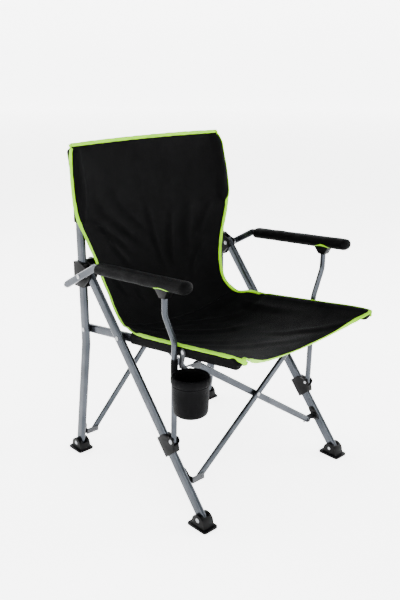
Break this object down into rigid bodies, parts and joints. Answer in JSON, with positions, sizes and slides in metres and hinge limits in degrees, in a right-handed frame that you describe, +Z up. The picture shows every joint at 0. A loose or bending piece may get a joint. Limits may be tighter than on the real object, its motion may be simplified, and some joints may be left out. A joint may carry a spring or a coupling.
{
  "type": "folding camp chair",
  "caption": "Folding camp chair: steel side frames with sliding hubs, front and rear cross braces, fabric sling seat and back, padded armrests and a fabric cup holder.",
  "frame": {"origin": "centre of the bounding box on the ground, under the open chair", "axes": "+Z up, the sitter faces -Y, +X to the sitter's left"},
  "size_m": [0.6168, 0.67, 0.8863],
  "materials": {
    "steel": "satin grey powder coat with a faint hammered texture",
    "zinc": "zinc-plated, satin",
    "plastic": "moulded black, fine grain",
    "fabric": "black woven polyester with a lime-green edge binding",
    "pad": "black woven polyester over foam",
    "webbing": "black ribbed webbing"
  },
  "bodies": {
    "upright_left": {"rear_upright_left": "steel", "seat_pivot_rivet_left": "zinc", "rear_x_ear_left": "plastic", "back_fabric": "fabric"},
    "hub_left": {"slider_hub_left": "plastic"},
    "leg_left": {"front_leg_left": "steel", "hub_pivot_left": "zinc", "rail_crossing_rivet_left": "zinc", "arm_clamp_left": "plastic", "arm_clamp_rivet_left": "zinc", "arm_support_tube_left": "steel", "arm_saddle_left": "plastic", "armrest_tube_left": "steel", "armrest_pad_left": "pad", "front_x_ear_left": "plastic", "cup_holder": "fabric", "cup_strap": "webbing"},
    "rail_left": {"seat_rail_left": "steel", "seat_link_rivet_left": "zinc", "seat_fabric": "fabric"},
    "rear_foot_left": {"rear_foot_left": "plastic", "rear_foot_rivet_left": "zinc"},
    "front_foot_left": {"front_foot_left": "plastic", "front_foot_rivet_left": "zinc"},
    "rear_link_left": {"rear_x_link_left": "zinc"},
    "rear_brace_left": {"rear_x_bar_left": "steel", "rear_x_top_rivet_left": "zinc", "rear_x_middle_rivet": "zinc"},
    "front_link_left": {"front_x_link_left": "zinc"},
    "front_brace_left": {"front_x_bar_left": "steel", "front_x_top_rivet_left": "zinc", "front_x_middle_rivet": "zinc"},
    "seat_link_left": {"seat_x_link_left": "zinc"},
    "upright_right": {"rear_upright_right": "steel", "seat_pivot_rivet_right": "zinc", "rear_x_ear_right": "plastic"},
    "hub_right": {"slider_hub_right": "plastic"},
    "leg_right": {"front_leg_right": "steel", "hub_pivot_right": "zinc", "rail_crossing_rivet_right": "zinc", "arm_clamp_right": "plastic", "arm_clamp_rivet_right": "zinc", "arm_support_tube_right": "steel", "arm_saddle_right": "plastic", "armrest_tube_right": "steel", "armrest_pad_right": "pad", "front_x_ear_right": "plastic"},
    "rail_right": {"seat_rail_right": "steel", "seat_link_rivet_right": "zinc"},
    "rear_foot_right": {"rear_foot_right": "plastic", "rear_foot_rivet_right": "zinc"},
    "front_foot_right": {"front_foot_right": "plastic", "front_foot_rivet_right": "zinc"},
    "rear_link_right": {"rear_x_link_right": "zinc"},
    "rear_brace_right": {"rear_x_bar_right": "steel", "rear_x_top_rivet_right": "zinc"},
    "front_link_right": {"front_x_link_right": "zinc"},
    "front_brace_right": {"front_x_bar_right": "steel", "front_x_top_rivet_right": "zinc"},
    "seat_link_right": {"seat_x_link_right": "zinc"}
  },
  "joints": [
    {"name": "fold", "type": "slide", "parent": "upright_left", "child": "upright_right", "axis": [-1, 0, 0], "range_m": [0, 0.36], "deforming": ["back_fabric", "seat_fabric"]},
    {"name": "hub_slide_left", "type": "slide", "parent": "upright_left", "child": "hub_left", "axis": [0, 0, 1], "range_m": [0, 0.156]},
    {"name": "leg_hinge_left", "type": "hinge", "parent": "hub_left", "child": "leg_left", "pos_m": [-0.26, 0.214, 0.554], "axis": [1, 0, 0], "range_deg": [0, 26.26]},
    {"name": "rail_hinge_left", "type": "hinge", "parent": "upright_left", "child": "rail_left", "pos_m": [-0.2415, 0.2515, 0.3885], "axis": [1, 0, 0], "range_deg": [-52.53, 0]},
    {"name": "rear_link_tilt_left", "type": "hinge", "parent": "upright_left", "child": "rear_link_left", "pos_m": [-0.215, 0.2985, 0.056], "axis": [1, 0, 0], "range_deg": [-1.28, 0]},
    {"name": "rear_brace_hinge_left", "type": "hinge", "parent": "rear_link_left", "child": "rear_brace_left", "pos_m": [-0.215, 0.2985, 0.056], "axis": [0, 0.996, 0.0897], "range_deg": [-33.41, 0]},
    {"name": "front_link_tilt_left", "type": "hinge", "parent": "leg_left", "child": "front_link_left", "pos_m": [-0.218, -0.1625, 0.1], "axis": [1, 0, 0], "range_deg": [-20.71, 0]},
    {"name": "front_brace_hinge_left", "type": "hinge", "parent": "front_link_left", "child": "front_brace_left", "pos_m": [-0.218, -0.1625, 0.1], "axis": [0, 0.9975, -0.0708], "range_deg": [-48.89, 0]},
    {"name": "seat_link_tilt_left", "type": "hinge", "parent": "rail_left", "child": "seat_link_left", "pos_m": [-0.2415, -0.146, 0.437], "axis": [1, 0, 0], "range_deg": [0, 58.08]},
    {"name": "rear_foot_tilt_left", "type": "hinge", "parent": "upright_left", "child": "rear_foot_left", "pos_m": [-0.257, 0.3042, 0.022], "axis": [1, 0, 0], "range_deg": [-20, 20]},
    {"name": "front_foot_tilt_left", "type": "hinge", "parent": "leg_left", "child": "front_foot_left", "pos_m": [-0.26, -0.2231, 0.022], "axis": [1, 0, 0], "range_deg": [-20, 20]},
    {"name": "hub_slide_right", "type": "slide", "parent": "upright_right", "child": "hub_right", "axis": [0, 0, 1], "range_m": [0, 0.156]},
    {"name": "leg_hinge_right", "type": "hinge", "parent": "hub_right", "child": "leg_right", "pos_m": [0.26, 0.214, 0.554], "axis": [1, 0, 0], "range_deg": [0, 26.26]},
    {"name": "rail_hinge_right", "type": "hinge", "parent": "upright_right", "child": "rail_right", "pos_m": [0.2415, 0.2515, 0.3885], "axis": [1, 0, 0], "range_deg": [-52.53, 0]},
    {"name": "rear_link_tilt_right", "type": "hinge", "parent": "upright_right", "child": "rear_link_right", "pos_m": [0.215, 0.2985, 0.056], "axis": [1, 0, 0], "range_deg": [-1.28, 0]},
    {"name": "rear_brace_hinge_right", "type": "hinge", "parent": "rear_link_right", "child": "rear_brace_right", "pos_m": [0.215, 0.2985, 0.056], "axis": [0, 0.996, 0.0897], "range_deg": [0, 33.41]},
    {"name": "front_link_tilt_right", "type": "hinge", "parent": "leg_right", "child": "front_link_right", "pos_m": [0.218, -0.1625, 0.1], "axis": [1, 0, 0], "range_deg": [-20.71, 0]},
    {"name": "front_brace_hinge_right", "type": "hinge", "parent": "front_link_right", "child": "front_brace_right", "pos_m": [0.218, -0.1625, 0.1], "axis": [0, 0.9975, -0.0708], "range_deg": [0, 48.89]},
    {"name": "seat_link_tilt_right", "type": "hinge", "parent": "rail_right", "child": "seat_link_right", "pos_m": [0.2415, -0.146, 0.437], "axis": [1, 0, 0], "range_deg": [0, 58.08]},
    {"name": "rear_foot_tilt_right", "type": "hinge", "parent": "upright_right", "child": "rear_foot_right", "pos_m": [0.257, 0.3042, 0.022], "axis": [1, 0, 0], "range_deg": [-20, 20]},
    {"name": "front_foot_tilt_right", "type": "hinge", "parent": "leg_right", "child": "front_foot_right", "pos_m": [0.26, -0.2231, 0.022], "axis": [1, 0, 0], "range_deg": [-20, 20]}
  ],
  "couplings": [
    {"joint": "hub_slide_left", "follows": "fold", "ratio": 0.43186},
    {"joint": "leg_hinge_left", "follows": "fold", "rad_per_m": 1.2682},
    {"joint": "rail_hinge_left", "follows": "fold", "rad_per_m": -2.542},
    {"joint": "rear_link_tilt_left", "follows": "fold", "rad_per_m": -0.057031},
    {"joint": "rear_brace_hinge_left", "follows": "fold", "rad_per_m": -1.6151},
    {"joint": "front_link_tilt_left", "follows": "fold", "rad_per_m": -0.9993},
    {"joint": "front_brace_hinge_left", "follows": "fold", "rad_per_m": -2.3654},
    {"joint": "seat_link_tilt_left", "follows": "fold", "rad_per_m": 2.811},
    {"joint": "hub_slide_right", "follows": "fold", "ratio": 0.43186},
    {"joint": "leg_hinge_right", "follows": "fold", "rad_per_m": 1.2682},
    {"joint": "rail_hinge_right", "follows": "fold", "rad_per_m": -2.542},
    {"joint": "rear_link_tilt_right", "follows": "fold", "rad_per_m": -0.057031},
    {"joint": "rear_brace_hinge_right", "follows": "fold", "rad_per_m": 1.6151},
    {"joint": "front_link_tilt_right", "follows": "fold", "rad_per_m": -0.9993},
    {"joint": "front_brace_hinge_right", "follows": "fold", "rad_per_m": 2.3654},
    {"joint": "seat_link_tilt_right", "follows": "fold", "rad_per_m": 2.811}
  ]
}
